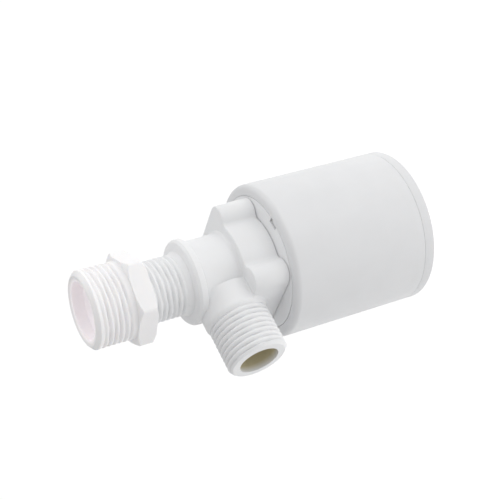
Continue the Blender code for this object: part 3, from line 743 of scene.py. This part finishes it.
@dataclass
class Housing:
    """The valve housing: threaded inlet, collar, neck, drum with screw bosses, and the side inlet."""

    palette: Palette
    inlet_end: float = 9.8 * MM
    inlet_bore: float = 7.0 * MM
    thread_end: float = 33.4 * MM
    root_radius: float = 9.9 * MM
    collar_top: float = 35.0 * MM
    collar_bottom: float = 38.2 * MM
    collar_radius: float = 14.8 * MM
    collar_root: float = 11.8 * MM
    neck_radius: float = 13.35 * MM
    neck_fillet: float = 1.5 * MM
    drum_top: float = 51.5 * MM
    drum_bottom: float = 64.22 * MM
    drum_radius: float = 17.0 * MM
    drum_bore: float = 15.2 * MM
    edge_rounding: float = 1.0 * MM
    boss_circle: float = 18.0 * MM
    boss_radius: float = 4.7 * MM
    boss_fillet: float = 1.5 * MM
    chamber_radius: float = 10.0 * MM
    seat_bore: float = 6.5 * MM
    seat_radius: float = 8.0 * MM
    seat_depth: float = 61.7 * MM
    branch_depth: float = BRANCH_DEPTH
    branch_reach: float = BRANCH_REACH
    branch_start: float = 9.4 * MM
    branch_plain_end: float = 18.4 * MM
    branch_root: float = 10.95 * MM
    branch_bore: float = 6.5 * MM
    branch_rim: float = 9.3 * MM
    branch_fillet: float = 0.8 * MM
    branch_columns: int = 192
    flare_rings: int = 44
    ring_top: float = 55.5 * MM
    ring_radius: float = 13.4 * MM
    ring_bore: float = 11.6 * MM
    rib_width: float = 2.4 * MM
    columns_per_boss: int = 76

    def quarter_outline(self) -> list[tuple[complex, complex]]:
        """One boss with its two fillets and half of each valley, centred on the X axis.

        Returns:
            Pairs of point and outward normal, as complex numbers.
        """
        reach, near = self.drum_radius + self.boss_fillet, self.boss_radius + self.boss_fillet
        cosine = (self.boss_circle**2 + reach**2 - near**2) / (2 * self.boss_circle * reach)
        lift = math.acos(cosine)
        fillet_centre = reach * complex(math.cos(lift), math.sin(lift))
        boss_centre = complex(self.boss_circle, 0.0)
        to_boss = np.angle(boss_centre - fillet_centre)
        to_drum = np.angle(-fillet_centre)
        if to_drum > 0:
            to_drum -= TURN
        boss_end = np.angle(fillet_centre - boss_centre)
        arcs = [
            (boss_centre, self.boss_radius, 0.0, boss_end, 1),
            (fillet_centre, self.boss_fillet, to_boss, to_drum, -1),
            (0j, self.drum_radius, lift, TURN / 8, 1),
        ]
        lengths = [radius * abs(b - a) for _, radius, a, b, _ in arcs]
        half = self.columns_per_boss // 2
        side = []
        for k in range(half):
            along = sum(lengths) * (k + 0.5) / half
            for (centre, radius, a, b, sign), length in zip(arcs, lengths):
                if along <= length:
                    break
                along -= length
            ray = complex(math.cos(a + (b - a) * along / length), math.sin(a + (b - a) * along / length))
            side.append((centre + radius * ray, sign * ray))
        mirrored = [(p.conjugate(), n.conjugate()) for p, n in reversed(side)]
        return mirrored + side

    def outline(self) -> tuple[np.ndarray, np.ndarray]:
        """The drum's whole outline, with flat walls under the side inlet and opposite it.

        Returns:
            Points and outward normals, as complex arrays.
        """
        quarter = self.quarter_outline()
        points, normals = [], []
        for k in range(4):
            ray = complex(math.cos(TURN * (k + 0.5) / 4), math.sin(TURN * (k + 0.5) / 4))
            points += [p * ray for p, _ in quarter]
            normals += [n * ray for _, n in quarter]
        points, normals = np.array(points), np.array(normals)
        side = self.boss_circle * math.sin(TURN / 8)
        saddle = np.abs(points.imag) < side
        normals[saddle] = np.sign(points[saddle].real)
        points[saddle] = normals[saddle] * self.saddle_reach() + 1j * points[saddle].imag
        return points, normals

    def saddle_reach(self) -> float:
        """How far the drum's flat walls are from the main axis."""
        return self.boss_circle * math.sin(TURN / 8) + self.boss_radius

    def casting(self) -> Piece:
        """The housing without its side inlet.

        Returns:
            The piece.
        """
        points, normals = self.outline()
        angles = np.angle(points)
        rings: list[np.ndarray] = []

        def at_circle(radius: object, depth: float) -> None:
            """Adds a round ring."""
            rings.append(circle_ring(angles, radius, depth))

        def at_outline(inset: float, depth: float, towards: float = 0.0, radius: float = 0.0) -> None:
            """Adds a ring on the drum's outline, moved in, and part of the way to a circle."""
            spot = points - normals * inset
            spot = spot * (1.0 - towards) + towards * radius * np.exp(1j * angles)
            rings.append(np.stack([spot.real, spot.imag, np.full(len(spot), -depth)], axis=1))

        root = HALF_INCH - THREAD_DEPTH
        thread = Thread(HALF_INCH, self.inlet_end, self.thread_end, fade_in=0.01 * MM, fade_out=0.6 * PITCH)
        at_circle(self.inlet_bore + 0.3 * MM, self.inlet_end)
        at_circle(root - 0.2 * MM, self.inlet_end)
        for radius, depth in thread.rings(angles, self.inlet_end + 0.1 * MM, self.thread_end - 0.4 * MM):
            lead = root - 0.1 * MM + (depth - self.inlet_end)
            at_circle(np.minimum(radius, lead), depth)
        upper = [
            (self.root_radius, self.thread_end + 0.2 * MM, 0),
            (self.root_radius + 0.1 * MM, self.collar_top - 1.1 * MM, 0),
            (self.collar_root - 0.7 * MM, self.collar_top - 0.2 * MM, 0),
            (self.collar_root, self.collar_top, 0),
            (self.collar_radius, self.collar_top, 1.9 * MM),
            (self.collar_radius, self.collar_bottom, 0.45 * MM),
            (self.neck_radius - 0.25 * MM, self.collar_bottom + 0.1 * MM, 0.1 * MM),
            (self.neck_radius, self.collar_bottom + 0.75 * MM, 0.3 * MM),
            (self.neck_radius, self.drum_top, self.neck_fillet),
            (self.neck_radius + 2 * self.neck_fillet, self.drum_top, 0),
        ]
        for radius, depth in rounded(upper, 8)[:-1]:
            at_circle(radius, depth)
        shelf = self.neck_radius + self.neck_fillet
        for k in range(1, 5):
            at_outline(self.edge_rounding, self.drum_top, 1.0 - k / 4, shelf)
        for k in range(1, 7):
            bend = math.pi / 2 * k / 6
            inset = self.edge_rounding * (1.0 - math.sin(bend))
            at_outline(inset, self.drum_top + self.edge_rounding * (1.0 - math.cos(bend)))
        at_outline(0.0, self.drum_bottom - 6.0 * MM)
        at_outline(0.0, self.drum_bottom - 0.15 * MM)
        at_outline(0.15 * MM, self.drum_bottom)
        at_outline(0.15 * MM, self.drum_bottom, 0.5, self.drum_bore)
        inside = [
            (self.drum_bore, self.drum_bottom),
            (self.drum_bore, self.drum_top + 2.0 * MM),
            (self.seat_radius, self.drum_top + 2.0 * MM),
            (self.seat_radius, self.seat_depth - 0.3 * MM),
            (self.seat_radius - 0.4 * MM, self.seat_depth),
            (self.seat_bore + 0.3 * MM, self.seat_depth),
            (self.seat_bore, self.seat_depth - 0.3 * MM),
            (self.seat_bore, self.drum_top + 2.0 * MM),
            (self.chamber_radius, self.drum_top - 1.0 * MM),
            (self.chamber_radius, self.collar_bottom + 2.8 * MM),
            (self.inlet_bore, self.collar_bottom),
            (self.inlet_bore, self.inlet_end + 0.3 * MM),
        ]
        for radius, depth in inside:
            at_circle(radius, depth)
        piece = sleeve("housing_casting", rings)
        level = -self.branch_depth
        cut(piece, bar(self.branch_bore + 0.05 * MM, (-20.0 * MM, 0, level), (-4.0 * MM, 0, level)))
        smooth(piece, 32.0)
        return piece

    def gap_to_body(self, reach: float, across: np.ndarray, depth: np.ndarray) -> np.ndarray:
        """Distance from points to the neck, the drum and the flat wall under the side inlet.

        Args:
            reach: How far along the side inlet.
            across: Distances to its side.
            depth: Depths.

        Returns:
            The distances, negative inside.
        """
        radial = np.hypot(reach, across)
        gaps = []
        for away, size, top in (
            (radial, self.neck_radius, self.collar_top),
            (radial, self.drum_radius, self.drum_top),
            (np.full(len(radial), reach), self.saddle_reach(), self.drum_top),
        ):
            beyond = away - size
            along = np.maximum(top - depth, depth - self.drum_bottom)
            outside = np.hypot(np.maximum(beyond, 0), np.maximum(along, 0))
            gaps.append(outside + np.minimum(np.maximum(beyond, along), 0))
        return np.minimum.reduce(gaps)

    def side_inlet(self) -> Piece:
        """The side inlet, flared into the neck with a fillet.

        Returns:
            The piece.
        """
        angles = even_angles(self.branch_columns)
        plain_end = self.branch_plain_end
        thread_start = plain_end + 0.2 * MM
        thread = Thread(HALF_INCH, thread_start, self.branch_reach, fade_in=0.5 * PITCH, fade_out=0.01 * MM)
        rows: list[tuple[np.ndarray | float, float]] = []
        for reach in np.linspace(self.branch_start, plain_end - 0.5 * MM, self.flare_rings):
            radius = np.full(len(angles), self.branch_root)
            for _ in range(3):
                side, height = radius * np.cos(angles), radius * np.sin(angles)
                gap = self.gap_to_body(reach, side, self.branch_depth - height)
                short = np.clip(self.branch_fillet - gap, 0.0, self.branch_fillet)
                swell = self.branch_fillet - np.sqrt(self.branch_fillet**2 - short**2)
                radius = self.branch_root + swell
            rows.append((radius, float(reach)))
        rows.append((self.branch_root - 0.15 * MM, plain_end - 0.15 * MM))
        rows.append((HALF_INCH, plain_end + 0.05 * MM))
        for radius, reach in thread.rings(angles, thread_start, self.branch_reach - 0.02 * MM):
            rim = self.branch_rim + (self.branch_reach - reach) * 1.1
            rows.append((np.minimum(radius, rim), reach))
        rows += [
            (self.branch_rim - 0.2 * MM, self.branch_reach),
            (self.branch_bore + 0.35 * MM, self.branch_reach),
            (self.branch_bore, self.branch_reach - 0.35 * MM),
            (self.branch_bore, self.branch_start),
        ]
        rings = []
        for radius, reach in rows:
            along = np.full(len(angles), -reach)
            side, height = radius * np.cos(angles), radius * np.sin(angles)
            rings.append(np.stack([along, side, height - self.branch_depth], axis=1))
        piece = sleeve("side_inlet", rings)
        smooth(piece, 40.0)
        return piece

    def clamp_ring(self) -> Piece:
        """The ring that the diaphragm is clamped to, on four ribs.

        Returns:
            The piece.
        """
        corners = [
            (self.ring_bore, self.ring_top, 0.3 * MM),
            (self.ring_radius, self.ring_top, 0.3 * MM),
            (self.ring_radius, self.seat_depth, 0.1 * MM),
            (self.ring_bore, self.seat_depth, 0.1 * MM),
        ]
        ring = turned("clamp_ring", corners, 128)
        for k in range(4):
            low = (self.ring_bore + 0.8 * MM, -self.rib_width / 2, -(self.seat_depth - 0.5 * MM))
            high = (self.drum_bore + 0.4 * MM, self.rib_width / 2, -(self.ring_top + 0.5 * MM))
            cut(ring, brick(low, high, TURN * (k + 0.5) / 4), "UNION")
        smooth(ring)
        return ring

    def build(self) -> None:
        """Makes, dresses and places the housing's pieces."""
        for piece in (self.casting(), self.side_inlet(), self.clamp_ring()):
            self.palette.dress(piece, Finish.HOUSING)
            place(piece, "housing", Finish.HOUSING, "valve_housing")


@dataclass
class Bushing:
    """The reducing bushing with its hexagon."""

    palette: Palette
    length: float = 20.5 * MM
    mouth: float = 9.8 * MM
    face: float = 11.95 * MM
    web_top: float = 5.5 * MM
    web_bottom: float = 8.0 * MM
    web_bore: float = 7.6 * MM
    hex_top: float = 13.8 * MM
    thread_end: float = 13.0 * MM
    across_flats: float = 28.2 * MM
    hex_turn: float = math.radians(41.0)
    chamfer_radius: float = 14.35 * MM
    chamfer_slope: float = 1.75
    chamfer_length: float = 1.3 * MM
    chamfer_rings: int = 12
    corner_cut: float = 0.22 * MM
    columns: int = 264

    def hexagon(self, angles: np.ndarray, depth: float) -> np.ndarray:
        """Radius of the hexagon with its chamfers and rounded corners.

        Args:
            angles: Columns' angles.
            depth: Depth of the ring.

        Returns:
            A radius for each column.
        """
        off = np.mod(angles - self.hex_turn, TURN / 6) - TURN / 12
        flat = self.across_flats / 2 / np.cos(off)
        corner = self.across_flats / 2 / math.cos(TURN / 12) - self.corner_cut
        flat = np.minimum(flat, corner)
        near_end = min(depth - self.hex_top, self.length - depth)
        return np.minimum(flat, self.chamfer_radius + near_end * self.chamfer_slope)

    def build(self) -> None:
        """Makes, dresses and places the bushing."""
        angles = even_angles(self.columns, self.hex_turn)
        thread = Thread(THREE_QUARTER_INCH, 1.6 * MM, self.thread_end, fade_in=2.2 * MM, fade_out=0.9 * PITCH)
        rings = [
            circle_ring(angles, self.mouth, 0.45 * MM),
            circle_ring(angles, self.mouth + 0.12 * MM, 0.15 * MM),
            circle_ring(angles, self.mouth + 0.4 * MM, 0.0),
            circle_ring(angles, self.face - 0.3 * MM, 0.0),
        ]
        for radius, depth in thread.rings(angles, 0.1 * MM, self.thread_end):
            lead = self.face - 0.1 * MM + depth * 1.05
            rings.append(circle_ring(angles, np.minimum(radius, lead), depth))
        rings.append(circle_ring(angles, THREE_QUARTER_INCH, self.hex_top - 0.2 * MM))
        rings.append(circle_ring(angles, THREE_QUARTER_INCH + 0.2 * MM, self.hex_top))
        chamfer = np.linspace(0.0, self.chamfer_length, self.chamfer_rings)
        for depth in [*(self.hex_top + chamfer), *(self.length - chamfer[::-1])]:
            rings.append(circle_ring(angles, self.hexagon(angles, float(depth)), float(depth)))
        inner = HALF_INCH + 0.25 * MM
        rings.append(circle_ring(angles, inner + 0.5 * MM, self.length))
        female = Thread(inner, self.web_bottom + 0.8 * MM, self.length - 0.8 * MM, depth=0.1 * MM)
        for radius, depth in female.rings(angles, self.length - 0.5 * MM, self.web_bottom):
            rings.append(circle_ring(angles, radius, depth))
        web = [
            (self.web_bore, self.web_bottom),
            (self.web_bore, self.web_top + 0.2 * MM),
            (self.web_bore + 0.3 * MM, self.web_top),
            (self.mouth - 0.3 * MM, self.web_top - 0.6 * MM),
            (self.mouth, self.web_top - 1.0 * MM),
        ]
        rings += [circle_ring(angles, radius, depth) for radius, depth in web]
        piece = sleeve("reducing_bushing", rings)
        smooth(piece, 24.0)
        self.palette.dress(piece, Finish.BRIGHT)
        place(piece, "adapter", Finish.BRIGHT, "adapter_bushing")


@dataclass
class Cover:
    """The cover of the pressure chamber, with its flange and guide skirt."""

    palette: Palette
    flange_top: float = 64.3 * MM
    flange_bottom: float = 66.8 * MM
    flange_radius: float = 23.14 * MM
    skirt_bore: float = 21.4 * MM
    skirt_bottom: float = 73.5 * MM
    hub_top: float = 63.4 * MM
    hub_bottom: float = 71.5 * MM
    hub_floor: float = 69.5 * MM
    hub_radius: float = 13.4 * MM
    chamber: float = 11.6 * MM
    nozzle_hole: float = 2.3 * MM
    notch_width: float = 4.0 * MM
    notch_floor: float = 21.2 * MM
    screw_circle: float = 18.0 * MM
    screw_hole: float = 1.7 * MM
    needle_offset: float = 5.0 * MM
    needle_hole: float = 0.53 * MM
    slot_inner: float = 13.8 * MM
    slot_outer: float = 15.2 * MM
    slot_bridge: float = 6.6 * MM
    fulcrum: tuple[float, float] = (6.0 * MM, 77.5 * MM)
    ear_inner: float = 3.6 * MM
    ear_outer: float = 5.6 * MM
    ear_radius: float = 2.2 * MM
    pin_hole: float = 1.33 * MM

    def outlet_slots(self) -> Piece:
        """The cutter of the four curved slots that the water leaves by.

        Returns:
            The cutter.
        """
        top, bottom = self.flange_top - MM, self.flange_bottom + MM
        corners = [
            (self.slot_inner, top, 0),
            (self.slot_outer, top, 0),
            (self.slot_outer, bottom, 0),
            (self.slot_inner, bottom, 0),
        ]
        slots = turned("outlet_slots", corners, 176)
        reach, half = self.slot_outer + MM, self.slot_bridge / 2
        for turn in (TURN / 8, -TURN / 8):
            cut(slots, brick((-reach, -half, -bottom - MM), (reach, half, -top + MM), turn))
        return slots

    def fulcrum_ear(self, side: int) -> Piece:
        """One ear under the hub, with its hole for the lever's pin.

        Args:
            side: 1 or -1.

        Returns:
            The ear.
        """
        x, depth = self.fulcrum
        near, far = sorted((side * self.ear_inner, side * self.ear_outer))
        ear = brick((x - self.ear_radius, near, -depth), (x + self.ear_radius, far, -(self.hub_floor + MM)))
        cut(ear, bar(self.ear_radius, (x, near, -depth), (x, far, -depth)), "UNION")
        cut(ear, bar(self.pin_hole, (x, near - MM, -depth), (x, far + MM, -depth), 48))
        return ear

    def build(self) -> None:
        """Makes, dresses and places the cover."""
        corners = [
            (self.chamber, self.hub_top, 0.2 * MM),
            (self.hub_radius, self.hub_top, 0.2 * MM),
            (self.hub_radius, self.flange_top, 0),
            (self.flange_radius, self.flange_top, 0.1 * MM),
            (self.flange_radius, self.skirt_bottom, 0.5 * MM),
            (self.skirt_bore, self.skirt_bottom, 0.5 * MM),
            (self.skirt_bore, self.flange_bottom, 0.6 * MM),
            (self.hub_radius, self.flange_bottom, 0.6 * MM),
            (self.hub_radius, self.hub_bottom, 0.8 * MM),
            (self.nozzle_hole, self.hub_bottom, 0),
            (self.nozzle_hole, self.hub_floor, 0),
            (self.chamber, self.hub_floor, 0.8 * MM),
        ]
        cover = turned("chamber_cover", corners, 176)
        for side in (-1, 1):
            cut(cover, self.fulcrum_ear(side), "UNION")
        cut(cover, self.outlet_slots())
        for turn in (TURN / 4, -TURN / 4):
            low = (self.notch_floor, -self.notch_width / 2, -(self.skirt_bottom + MM))
            high = (self.flange_radius + MM, self.notch_width / 2, -(self.flange_top - MM))
            cut(cover, brick(low, high, turn))
        for k in range(4):
            ray = Vector((math.cos(TURN * (k + 0.5) / 4), math.sin(TURN * (k + 0.5) / 4), 0.0))
            start = ray * self.screw_circle - Vector((0, 0, self.flange_top - MM))
            end = ray * self.screw_circle - Vector((0, 0, self.flange_bottom + MM))
            cut(cover, bar(self.screw_hole, start, end, 32))
        socket_top = Vector((0.0, self.needle_offset, -(self.hub_floor - MM)))
        cut(cover, bar(self.needle_hole, socket_top, socket_top - Vector((0.0, 0.0, 2.2 * MM)), 24))
        smooth(cover)
        self.palette.dress(cover, Finish.HOUSING)
        place(cover, "housing", Finish.HOUSING, "bonnet_cover")


@dataclass
class Float:
    """The float: outer shell, well cup and bottom cap."""

    palette: Palette
    top: float = 64.35 * MM
    radius: float = 26.95 * MM
    bore: float = 25.2 * MM
    lip: float = 23.2 * MM
    lip_bottom: float = 66.5 * MM
    seam: float = 115.2 * MM
    bottom: float = 119.2 * MM
    gap: float = 0.06 * MM
    well_bore: float = 23.3 * MM
    well_radius: float = 24.7 * MM
    well_top: float = 66.8 * MM
    well_floor: float = 86.5 * MM
    well_bottom: float = 88.3 * MM
    key_radius: float = 21.6 * MM
    key_width: float = 3.0 * MM
    key_top: float = 64.9 * MM
    pole: float = 0.05 * MM
    columns: int = 224

    def shell(self) -> Piece:
        """The outer wall with its top rim.

        Returns:
            The piece.
        """
        corners = [
            (self.lip, self.top, 0.35 * MM),
            (self.radius, self.top, 1.9 * MM),
            (self.radius, self.seam - 20.0 * MM, 0),
            (self.radius, self.seam - self.gap / 2, 0.08 * MM),
            (self.bore, self.seam - self.gap / 2, 0),
            (self.bore, self.lip_bottom, 0.5 * MM),
            (self.lip, self.lip_bottom, 0.3 * MM),
        ]
        return turned("float_wall", corners, self.columns)

    def cap(self) -> Piece:
        """The bottom cap with its spigot.

        Returns:
            The piece.
        """
        spigot_top = self.seam - 3.0 * MM
        spigot = self.bore - 0.3 * MM
        floor = self.bottom - 2.0 * MM
        corners = [
            (self.pole, floor, 0),
            (spigot - 1.5 * MM, floor, 0.6 * MM),
            (spigot - 1.5 * MM, spigot_top, 0.3 * MM),
            (spigot, spigot_top, 0.3 * MM),
            (spigot, self.seam + self.gap / 2, 0),
            (self.radius, self.seam + self.gap / 2, 0.08 * MM),
            (self.radius, self.bottom, 0.7 * MM),
            (self.pole, self.bottom, 0),
        ]
        return turned("float_cap", corners, self.columns)

    def well_cup(self) -> Piece:
        """The cup that closes the float from above, with the two key ribs that stop it from turning.

        Returns:
            The piece.
        """
        corners = [
            (self.pole, self.well_floor, 0),
            (self.well_bore, self.well_floor, 0.8 * MM),
            (self.well_bore, self.well_top, 0.2 * MM),
            (self.well_radius, self.well_top, 0.2 * MM),
            (self.well_radius, self.well_bottom, 1.0 * MM),
            (self.pole, self.well_bottom, 0),
        ]
        cup = turned("float_well", corners, self.columns)
        half = self.key_width / 2
        rib_top = -(self.well_top + 0.6 * MM)
        blocks = [
            (-(self.well_floor - 2.5 * MM), rib_top, self.well_bore + 0.7 * MM),
            (rib_top - 2.0 * MM, -self.key_top, self.lip - 0.3 * MM),
        ]
        for turn in (TURN / 4, -TURN / 4):
            for low, high, reach in blocks:
                cut(cup, brick((self.key_radius, -half, low), (reach, half, high), turn), "UNION")
        return cup

    def build(self) -> None:
        """Makes, dresses and places the float's pieces."""
        pieces = {
            "float_shell": self.shell(),
            "float_bottom_cap": self.cap(),
            "float_well_cup": self.well_cup(),
        }
        for node, piece in pieces.items():
            smooth(piece)
            # The float's darker white is painted shade.
            self.palette.dress(piece, Finish.FLOAT)
            place(piece, "float", Finish.FLOAT, node)


def place(piece: Piece, body: str, finish: Finish, *nodes: str) -> None:
    """Puts a piece on its body, hides the solids it stands for, and reports it.

    Args:
        piece: The piece.
        body: The body's name.
        finish: Its finish, which names its slot; not used.
        nodes: The solids it stands for.
    """
    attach(piece, body)
    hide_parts(*nodes)
    LOG.info("%s rides on %s with %d faces", piece.name, body, len(piece.data.polygons))


# Stage


@dataclass
class Studio:
    """Camera, soft lights and floor."""

    eye: tuple[float, float, float] = (-0.174146, -0.322054, 0.106583)
    right: tuple[float, float, float] = (-0.4294, -0.22424, -0.87483)
    up: tuple[float, float, float] = (0.78772, -0.56678, -0.24136)
    back: tuple[float, float, float] = (-0.44172, -0.79276, 0.42001)
    lens: float = 85.07
    sensor: float = 36.0
    middle: tuple[float, float, float] = (0.0, 0.0, -0.06)
    softbox_distance: float = 0.9
    softbox_size: float = 0.7
    key_watts: float = 1.4
    side_watts: float = 1.5
    air_strength: float = 0.60
    floor_depth: float = 0.42
    floor_size: float = 6.0
    floor_glow: float = 0.44

    def camera(self) -> None:
        """Places the camera."""
        lens = bpy.data.cameras.new("camera")
        lens.lens = self.lens
        lens.sensor_width = self.sensor
        lens.clip_start = 0.01
        camera = bpy.data.objects.new("camera", lens)
        turn = Matrix((self.right, self.up, self.back)).transposed().to_4x4()
        camera.matrix_world = Matrix.Translation(self.eye) @ turn
        bpy.context.scene.collection.objects.link(camera)
        bpy.context.scene.camera = camera

    def softbox(self, name: str, direction: Vector, watts: float) -> None:
        """Adds a square soft light aimed at the object.

        Args:
            name: The light's name.
            direction: Where it stands, seen from the object.
            watts: Its power.
        """
        light = bpy.data.lights.new(name, "AREA")
        light.size = self.softbox_size
        light.energy = watts
        lamp = bpy.data.objects.new(name, light)
        lamp.location = Vector(self.middle) + direction.normalized() * self.softbox_distance
        lamp.rotation_mode = "QUATERNION"
        lamp.rotation_quaternion = direction.to_track_quat("Z", "Y")
        bpy.context.scene.collection.objects.link(lamp)

    def build(self) -> None:
        """Makes the stage."""
        self.camera()
        up, back, right = Vector(self.up), Vector(self.back), Vector(self.right)
        self.softbox("key_light", up + back, self.key_watts)
        self.softbox("side_light", up * 0.6 - right, self.side_watts)
        world = bpy.data.worlds.new("studio_air")
        world.use_nodes = True
        air = world.node_tree.nodes["Background"]
        air.inputs["Color"].default_value = (1.0, 1.0, 1.0, 1.0)
        air.inputs["Strength"].default_value = self.air_strength
        bpy.context.scene.world = world
        bpy.context.scene.view_settings.view_transform = "Standard"
        self.floor()

    def floor(self) -> None:
        """Adds the pale floor."""
        start_clean()
        bpy.ops.mesh.primitive_plane_add(size=self.floor_size, location=(0.0, 0.0, -self.floor_depth))
        floor = bpy.context.object
        floor.name = "pale_floor"
        g = Graph("pale_floor")
        where = g.coordinates()
        paper = g.mix(g.noise(where, 0.2), tint((0.97, 0.97, 0.97)), tint((0.96, 0.96, 0.96)))
        g.set(Base_Color=paper, Roughness=0.9)
        g.set(Emission_Color=(1.0, 1.0, 1.0, 1.0), Emission_Strength=self.floor_glow)
        floor.data.materials.append(g.material)


KEPT_SOLIDS = {
    Finish.NATURAL: ("diaphragm_plate", "diaphragm_guide", "pilot_seat", "pilot_lever", "float_hanger"),
    Finish.RUBBER: ("adapter_seal_washer", "diaphragm", "pilot_pad"),
    Finish.STEEL: (
        "cover_screw_1",
        "cover_screw_2",
        "cover_screw_3",
        "cover_screw_4",
        "metering_needle",
        "diaphragm_spring",
        "lever_pin",
        "hanger_pin",
    ),
}


def dress_solids(palette: Palette) -> None:
    """Gives every solid that stays its finish.

    Args:
        palette: The finishes.
    """
    for finish, nodes in KEPT_SOLIDS.items():
        for node in nodes:
            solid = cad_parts[node]
            solid.data.materials.clear()
            solid.data.materials.append(palette.materials[finish])
            LOG.info("%s keeps its solid, in %s", node, finish.value[0])


def main() -> None:
    """Builds the stage and every sub-assembly."""
    logging.basicConfig(level=logging.INFO, format="%(message)s")
    Studio().build()
    palette = Palette()
    dress_solids(palette)
    Bushing(palette).build()
    Housing(palette).build()
    Cover(palette).build()
    Float(palette).build()


if __name__ == "__main__":
    main()
